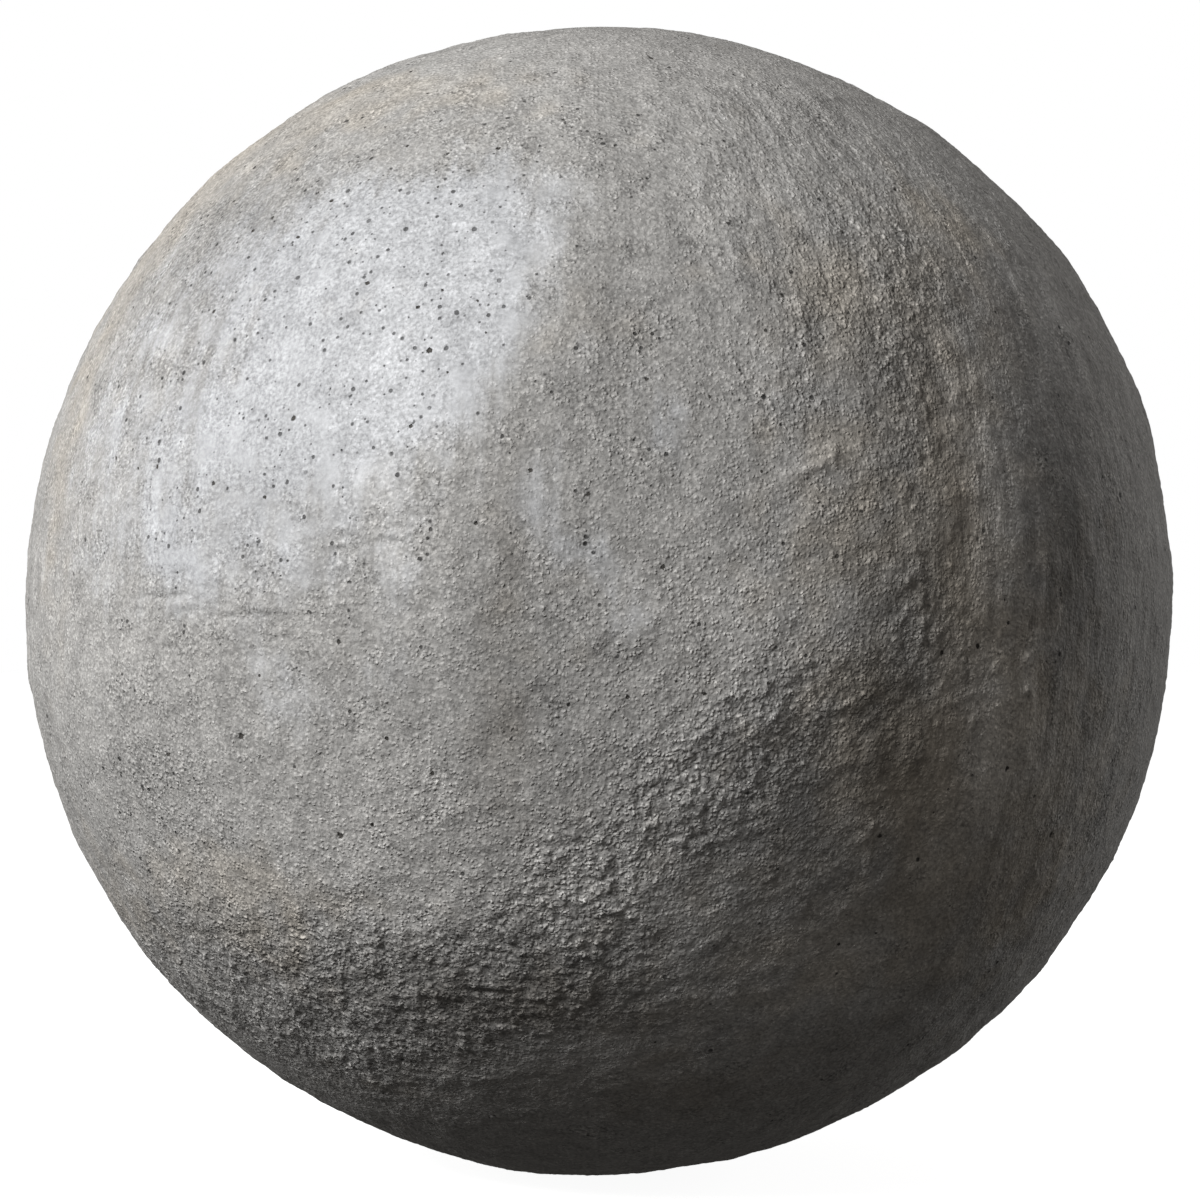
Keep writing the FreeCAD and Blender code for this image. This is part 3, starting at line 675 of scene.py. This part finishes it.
# Runs of wet cement show as faint upright streaks, most of all where the mould dragged the skin.
streak_share = sums(tree, "MULTIPLY_ADD", marks["dragged"], 0.32, 0.10)
shade = sums(tree, "MULTIPLY", shade, sums(tree, "MULTIPLY_ADD", marks["streak"], streak_share, 1.0))
# Painted shade: each pinhole is darkened inside.
shade = sums(tree, "MULTIPLY", shade, scaled(tree, pin_mouth, 0.0, 1.0, 1.0, 0.24))
colour = darkened(tree, colour, shade)
# Painted shadow: bug hole mouths are darkened.
colour = blend_colours(tree, mouth, colour, HOLE_SHADOW)
tree.links.new(colour, shader.inputs["Base Color"])

# Smooth pale cement is a little glossier than sandy skin.
roughness = scaled(tree, marks["pale"], 0.0, 1.0, 0.92, 0.74)
roughness = sums(tree, "ADD", roughness, scaled(tree, speckle, 0.3, 0.7, -0.06, 0.06))
tree.links.new(roughness, shader.inputs["Roughness"])
shader.inputs["Specular IOR Level"].default_value = 0.25

# Grains and scratches stand out, and pinholes and hole mouths sink in, all in millimetres.
relief = sums(tree, "MULTIPLY", small_grit, 0.70)
relief = sums(tree, "MULTIPLY_ADD", large_grit, sums(tree, "MULTIPLY", marks["sandy"], 0.60), relief)
relief = sums(tree, "MULTIPLY_ADD", speckle, 0.55, relief)
relief = sums(tree, "MULTIPLY", relief, marks["sandy"])
relief = sums(tree, "MULTIPLY_ADD", drag_marks, sums(tree, "MULTIPLY", marks["dragged"], 1.1), relief)
relief = sums(tree, "SUBTRACT", relief, sums(tree, "MULTIPLY", pin_mouth, 0.45))
relief = sums(tree, "SUBTRACT", relief, sums(tree, "MULTIPLY", mouth, 0.6))
bump = add_node(tree, "Bump", {"Height": relief, "Distance": MM, "Strength": 1.0})
tree.links.new(bump.outputs["Normal"], shader.inputs["Normal"])

for piece in ball_pieces:
    piece.data.materials.append(concrete)
    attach(piece, "ball")
    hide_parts("concrete_ball")

# ---------------------------------------------------------------- the recess plug
# A loose mortar disc closes the lifting recess. Its top keeps the ball's curve, trowelled by hand,
# and a half-round notch in its edge takes the tip of a pry bar. It lifts straight out.

NOTCH_RADIUS = 4 * MM
NOTCH_DEPTH = 5 * MM
PLUG_ARRIS = 0.9 * MM
PLUG_DRAW_IN = 0.06 * MM
PLUG_SAG = 0.12 * MM
PLUG_CENTRE_RING = 2 * MM
plug_low, plug_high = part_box("recess_plug")
PLUG_RADIUS = plug_high.x
PLUG_COLUMNS = 288
PLUG_RINGS = 40


def plug_outline(angle):
    """The plug's radius at each angle, drawn in along a circle where the notch is.

    A ray at an angle from the notch's middle meets the notch's circle, centred on the plug's edge,
    at R cos(a) - sqrt(n^2 - (R sin(a))^2).
    """
    away = PLUG_RADIUS * np.sin(angle)
    deep = np.sqrt(np.maximum(NOTCH_RADIUS**2 - away**2, 0))
    notched = PLUG_RADIUS * np.cos(angle) - deep
    at_notch = (np.abs(away) < NOTCH_RADIUS) & (np.cos(angle) > 0)
    return np.where(at_notch, notched, PLUG_RADIUS - PLUG_DRAW_IN)


turn = np.linspace(0, 2 * math.pi, PLUG_COLUMNS, endpoint=False)
outline = plug_outline(turn)
plug_rings = []
for share in np.linspace(0.02, 1, PLUG_RINGS):
    radius = (outline - PLUG_ARRIS) * share
    plug_rings.append((radius, CENTRE_Z + np.sqrt(BALL_RADIUS**2 - radius**2)))
notch_floor = CENTRE_Z + math.sqrt(BALL_RADIUS**2 - RIM_RADIUS**2) - NOTCH_DEPTH
edge_top = plug_rings[-1][1]
plug_rings += [
    (outline - 0.3 * PLUG_ARRIS, edge_top - 0.3 * PLUG_ARRIS),
    (outline, edge_top - PLUG_ARRIS),
    (outline, np.full_like(outline, notch_floor)),
    (np.full_like(outline, PLUG_RADIUS), np.full_like(outline, notch_floor)),
    (np.full_like(outline, PLUG_RADIUS), np.full_like(outline, plug_low.z + PLUG_ARRIS)),
    (np.full_like(outline, PLUG_RADIUS - PLUG_ARRIS), np.full_like(outline, plug_low.z)),
    (np.full_like(outline, PLUG_CENTRE_RING), np.full_like(outline, plug_low.z)),
]
plug_points = np.concatenate([
    np.stack([radius * np.sin(turn), -radius * np.cos(turn), up], -1) for radius, up in plug_rings
]).astype(np.float32)
on_top = np.arange(len(plug_points)) < (PLUG_RINGS - 2) * PLUG_COLUMNS
in_mm = plug_points / np.float32(MM)
# The trowelled top waves a little, in millimetres, and runs true at its edge.
lift = 0.16 * cloud(in_mm, 9, 51) + 0.08 * cloud(in_mm, 2.6, 52) - 0.16
lift *= ramp(-np.linalg.norm(in_mm[:, :2], axis=1), -35.0, -30.0)
plug_points[:, 2] += np.where(on_top, lift * MM, 0).astype(np.float32)
ring_index = np.arange(len(plug_points)).reshape(len(plug_rings), PLUG_COLUMNS)
plug_faces = [faces for a, b in zip(ring_index, ring_index[1:]) for faces in band(b, a)]
top_point, low_point = len(plug_points), len(plug_points) + 1
plug_points = np.concatenate([plug_points, [
    [0, 0, CENTRE_Z + BALL_RADIUS - PLUG_SAG], [0, 0, plug_low.z]]])
first, last = ring_index[0], ring_index[-1]
top_fan = np.stack([first, np.roll(first, -1), np.full(len(first), top_point)], -1)
low_fan = np.stack([np.roll(last, -1), last, np.full(len(last), low_point)], -1)
plug_mesh = bpy.data.meshes.new("recess_plug_cast")
plug_mesh.from_pydata(plug_points.tolist(), [], np.concatenate(plug_faces).tolist()
                      + top_fan.tolist() + low_fan.tolist())
plug_mesh.shade_smooth()
plug_mesh.set_sharp_from_angle(angle=math.radians(38))
plug = bpy.data.objects.new("recess_plug_cast", plug_mesh)
bpy.context.scene.collection.objects.link(plug)

MORTAR = (0.350, 0.342, 0.326)
MORTAR_DARK = (0.225, 0.218, 0.206)
mortar, tree, shader, where = new_material("trowelled_mortar")
patches = noise(tree, where, 55, 5.0, 0.6)
grains = grit(tree, where, 620)
colour = blend_colours(tree, scaled(tree, patches, 0.38, 0.66), MORTAR, MORTAR_DARK)
colour = darkened(tree, colour, scaled(tree, grains, 0.0, 0.7, 0.78, 1.12))
tree.links.new(colour, shader.inputs["Base Color"])
shader.inputs["Roughness"].default_value = 0.86
bump = add_node(tree, "Bump", {"Height": sums(tree, "MULTIPLY", grains, 0.35), "Distance": MM})
tree.links.new(bump.outputs["Normal"], shader.inputs["Normal"])
plug_mesh.materials.append(mortar)
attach(plug, "plug")
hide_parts("recess_plug")

# ---------------------------------------------------------------- moulded plastic pieces
# The recess cup, the sleeve's cap and the wheel spacers are moulded plastic: dark grey, black and
# pale grey. The cup is nailed to the mould, the cap pressed on, and the wheels clipped on the ribs.


def plastic(name, colour_low, colour_high, roughness):
    """Moulded plastic with faint cloudiness, scuffs and a fine moulded texture."""
    material, tree, shader, where = new_material(name)
    dust = noise(tree, where, 60, 4.0, 0.6)
    colour = blend_colours(tree, scaled(tree, dust, 0.35, 0.7), colour_low, colour_high)
    tree.links.new(colour, shader.inputs["Base Color"])
    scuffs = noise(tree, where, 240, 3.0, 0.6)
    tree.links.new(scaled(tree, scuffs, 0.3, 0.7, roughness - 0.1, roughness + 0.12),
                   shader.inputs["Roughness"])
    texture = sums(tree, "MULTIPLY", noise(tree, where, 1400), 0.03)
    bump = add_node(tree, "Bump", {"Height": texture, "Distance": MM})
    tree.links.new(bump.outputs["Normal"], shader.inputs["Normal"])
    return material


def finish_nodes(names, material):
    """Gives CAD pieces a finish, in each of their material slots."""
    for name in names:
        for slot in nodes[name].material_slots:
            slot.material = material


finish_nodes(["recess_cup"], plastic("cup_plastic", (0.050, 0.052, 0.055), (0.085, 0.085, 0.084), 0.55))
finish_nodes(["sleeve_cap"], plastic("cap_plastic", (0.018, 0.018, 0.019), (0.040, 0.040, 0.040), 0.50))
finish_nodes(["wheel_spacers"],
             plastic("spacer_plastic", (0.300, 0.305, 0.310), (0.380, 0.380, 0.375), 0.52))

# ---------------------------------------------------------------- cage steel
# The cage is plain steel bar, bent to hoops and ribs, with a straight lifting bar and two cradle bars.
# It is rusty from the yard, a dry orange brown skin over dark mill scale, and is not painted.

SCALE_DARK = (0.060, 0.050, 0.045)
RUST_BROWN = (0.180, 0.080, 0.035)
RUST_LIGHT = (0.330, 0.150, 0.060)
rusty, tree, shader, where = new_material("rusty_bar")
patches = noise(tree, where, 70, 6.0, 0.65)
dusting = noise(tree, where, 420, 3.0, 0.6)
colour = blend_colours(tree, scaled(tree, patches, 0.38, 0.56), SCALE_DARK, RUST_BROWN)
colour = blend_colours(tree, scaled(tree, dusting, 0.5, 0.72), colour, RUST_LIGHT)
tree.links.new(colour, shader.inputs["Base Color"])
tree.links.new(scaled(tree, patches, 0.35, 0.6, 0.55, 0.92), shader.inputs["Roughness"])
tree.links.new(scaled(tree, patches, 0.36, 0.5, 0.8, 0.0), shader.inputs["Metallic"])
bump = add_node(tree, "Bump", {"Height": sums(tree, "MULTIPLY", dusting, 0.25), "Distance": MM})
tree.links.new(bump.outputs["Normal"], shader.inputs["Normal"])
bars = [name for name in nodes if name.startswith("cage_rib") or name.endswith(("_hoop", "_ring"))]
finish_nodes(bars + ["lift_bar", "sleeve_cradle"], rusty)

# Each crossing of the cage is tied with soft black annealed wire, twisted tight and its ends bent in.
WIRE_BLACK = (0.030, 0.029, 0.030)
WIRE_RUST = (0.110, 0.062, 0.040)
black_wire, tree, shader, where = new_material("annealed_wire")
film = noise(tree, where, 300, 3.0, 0.6)
colour = blend_colours(tree, scaled(tree, film, 0.4, 0.7), WIRE_BLACK, WIRE_RUST)
tree.links.new(colour, shader.inputs["Base Color"])
tree.links.new(scaled(tree, film, 0.3, 0.7, 0.42, 0.75), shader.inputs["Roughness"])
shader.inputs["Metallic"].default_value = 0.7
finish_nodes(["tie_wires"], black_wire)

# ---------------------------------------------------------------- zinc pieces
# The dowel's sleeve is hot-dip galvanised tube with a dull spangle. The lifting ferrule and the wire
# loop welded to it are bright zinc plated. All three are cast in, held by the set concrete.


def zinc(name, light, dull, roughness):
    """Zinc coated steel: crystals of slightly different grey, duller where it has weathered."""
    material, tree, shader, where = new_material(name)
    crystals = add_node(tree, "TexVoronoi", {"Vector": where, "Scale": 160.0})
    crystal = add_node(tree, "SeparateColor", {0: crystals.outputs["Color"]}).outputs[0]
    weather = noise(tree, where, 50, 4.0, 0.6)
    colour = blend_colours(tree, sums(tree, "MULTIPLY", crystal, 0.6), light, dull)
    colour = blend_colours(tree, scaled(tree, weather, 0.45, 0.75), colour, dull)
    tree.links.new(colour, shader.inputs["Base Color"])
    shader.inputs["Metallic"].default_value = 1.0
    worn = sums(tree, "MULTIPLY", weather, 0.2)
    tree.links.new(sums(tree, "ADD", worn, roughness), shader.inputs["Roughness"])
    return material


finish_nodes(["dowel_sleeve"], zinc("galvanised_tube", (0.56, 0.57, 0.58), (0.36, 0.37, 0.38), 0.38))
zinc_plating = zinc("zinc_plating", (0.70, 0.70, 0.68), (0.50, 0.51, 0.50), 0.22)
finish_nodes(["ferrule_loop"], zinc_plating)

# The ferrule is a turned steel socket, closed below and tapped for an M20 lifting eye. Its thread runs
# nearly to the bottom, and its mouth is countersunk.
TAPPING_RADIUS = 8.75 * MM
THREAD_DEPTH = 1.2 * MM
THREAD_PITCH = 2.5 * MM
THREAD_LENGTH = 45 * MM
THREAD_START = 1.2 * MM
THREAD_FADE = 4 * MM
THREAD_COLUMNS, THREAD_STEPS = 96, 10
FERRULE_ARRIS = 0.5 * MM
ferrule_low, ferrule_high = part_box("lifting_ferrule")
turn = np.linspace(0, 2 * math.pi, THREAD_COLUMNS, endpoint=False)
depth_in = np.arange(THREAD_START, THREAD_LENGTH, THREAD_PITCH / THREAD_STEPS)[:, None]


def tapped(turn, depth_in):
    """The bore's radius at a turn and a depth: a groove of triangular section wound round it.

    With w the share of a pitch in depth / pitch + turn / (2 pi), the groove's depth is the thread's
    depth times 1.15 (1 - 2|w - 1/2|) - 0.08, held between 0 and 1. It fades out at the bottom.
    """
    share = (depth_in / THREAD_PITCH + turn / (2 * math.pi)) % 1.0
    groove = np.clip(1.15 * (1 - 2 * np.abs(share - 0.5)) - 0.08, 0, 1)
    fade = np.clip((THREAD_LENGTH - depth_in) / THREAD_FADE, 0, 1)
    return TAPPING_RADIUS + THREAD_DEPTH * groove * fade


bore = tapped(turn[None, :], depth_in)
outside = [
    (ferrule_high.x - FERRULE_ARRIS, ferrule_low.z), (ferrule_high.x, ferrule_low.z + FERRULE_ARRIS),
    (ferrule_high.x, ferrule_high.z - FERRULE_ARRIS), (ferrule_high.x - FERRULE_ARRIS, ferrule_high.z),
    (TAPPING_RADIUS + THREAD_DEPTH + FERRULE_ARRIS, ferrule_high.z),
]
radii = np.concatenate([
    [np.full_like(turn, radius) for radius, _ in outside], bore, [np.full_like(turn, TAPPING_RADIUS)]])
heights = np.concatenate([
    [up for _, up in outside], ferrule_high.z - depth_in[:, 0], [ferrule_high.z - THREAD_LENGTH]])
ferrule_points = np.stack([
    radii * np.sin(turn), -radii * np.cos(turn), np.broadcast_to(heights[:, None], radii.shape)], -1)
ring_index = np.arange(radii.size).reshape(radii.shape)
first, last = ring_index[0], ring_index[-1]
ferrule_faces = [faces for a, b in zip(ring_index, ring_index[1:]) for faces in band(a, b)]
ends = np.concatenate([
    np.stack([np.roll(first, -1), first, np.full(len(first), radii.size)], -1),
    np.stack([last, np.roll(last, -1), np.full(len(last), radii.size + 1)], -1),
])
ferrule_mesh = bpy.data.meshes.new("lifting_ferrule_tapped")
ferrule_mesh.from_pydata(
    np.concatenate([ferrule_points.reshape(-1, 3), [
        [0, 0, ferrule_low.z], [0, 0, ferrule_high.z - THREAD_LENGTH]]]).tolist(),
    [], np.concatenate(ferrule_faces).tolist() + ends.tolist())
ferrule_mesh.shade_smooth()
ferrule_mesh.set_sharp_from_angle(angle=math.radians(38))
ferrule_mesh.materials.append(zinc_plating)
ferrule = bpy.data.objects.new("lifting_ferrule_tapped", ferrule_mesh)
bpy.context.scene.collection.objects.link(ferrule)
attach(ferrule, "ball")
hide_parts("lifting_ferrule")

# ---------------------------------------------------------------- floor, light and camera
# A wide white studio floor and background, with one large soft lamp high at the front left, weak
# lamps behind at both sides, and a dim fill that is weaker from below.

FLOOR_HALF = 12.0
FLOOR_TOP = -0.2 * MM
floor_mesh = bpy.data.meshes.new("studio_floor")
floor_mesh.from_pydata(
    [(-FLOOR_HALF, -FLOOR_HALF, FLOOR_TOP), (FLOOR_HALF, -FLOOR_HALF, FLOOR_TOP),
     (FLOOR_HALF, FLOOR_HALF, FLOOR_TOP), (-FLOOR_HALF, FLOOR_HALF, FLOOR_TOP)],
    [], [(0, 1, 2, 3)],
)
floor = bpy.data.objects.new("studio_floor", floor_mesh)
bpy.context.scene.collection.objects.link(floor)
pale_floor, tree, shader, _ = new_material("white_floor")
shader.inputs["Base Color"].default_value = (0.35, 0.35, 0.35, 1)
shader.inputs["Roughness"].default_value = 1.0
shader.inputs["Specular IOR Level"].default_value = 0.0
shader.inputs["Emission Color"].default_value = (1, 1, 1, 1)
shader.inputs["Emission Strength"].default_value = 0.94
floor_mesh.materials.append(pale_floor)
floor.visible_diffuse = False
floor.visible_glossy = False

centre = Vector((0, 0, CENTRE_Z))
LAMP_DISTANCE = 3.0


def lamp(name, turn, rise, size, watts):
    """A square lamp that faces the ball, at an angle right of the front and an angle up."""
    light = bpy.data.lights.new(name, "AREA")
    light.size = size
    light.energy = watts
    t, r = math.radians(turn), math.radians(rise)
    side = Vector((math.sin(t) * math.cos(r), -math.cos(t) * math.cos(r), math.sin(r)))
    held = bpy.data.objects.new(name, light)
    held.location = centre + side * LAMP_DISTANCE
    held.rotation_mode = "QUATERNION"
    held.rotation_quaternion = side.to_track_quat("Z", "Y")
    bpy.context.scene.collection.objects.link(held)


lamp("key_lamp", turn=-46, rise=31, size=1.1, watts=131)
lamp("left_lamp", turn=-102, rise=6, size=1.2, watts=30)
lamp("right_lamp", turn=122, rise=8, size=1.0, watts=24)

world = bpy.data.worlds.new("studio_world")
bpy.context.scene.world = world
world.use_nodes = True
tree = world.node_tree
way = add_node(tree, "SeparateXYZ", {0: add_node(tree, "TexCoord").outputs["Generated"]}).outputs[2]
fill = tree.nodes["Background"]
fill.inputs["Color"].default_value = (1.0, 0.96, 0.92, 1)
tree.links.new(scaled(tree, way, -0.8, 0.6, 0.06, 0.26), fill.inputs["Strength"])
white = add_node(tree, "Background", {"Color": (1, 1, 1, 1), "Strength": 1.0})
seen = add_node(tree, "LightPath").outputs["Is Camera Ray"]
both = add_node(tree, "MixShader", {0: seen, 1: fill.outputs[0], 2: white.outputs[0]})
tree.links.new(both.outputs[0], tree.nodes["World Output"].inputs["Surface"])
bpy.context.scene.view_settings.view_transform = "Standard"

# The camera is level with the ball's centre, where the radius takes this share of the frame's width.
LENS, SENSOR = 100.0, 36.0
BALL_SHARE = 0.47808333
away = math.hypot(BALL_RADIUS * LENS / SENSOR / BALL_SHARE, BALL_RADIUS)
camera_data = bpy.data.cameras.new("camera")
camera_data.lens = LENS
camera_data.sensor_width = SENSOR
camera = bpy.data.objects.new("camera", camera_data)
camera.location = (0, -away, CENTRE_Z)
camera.rotation_euler = (math.radians(90), 0, 0)
bpy.context.scene.collection.objects.link(camera)
bpy.context.scene.camera = camera
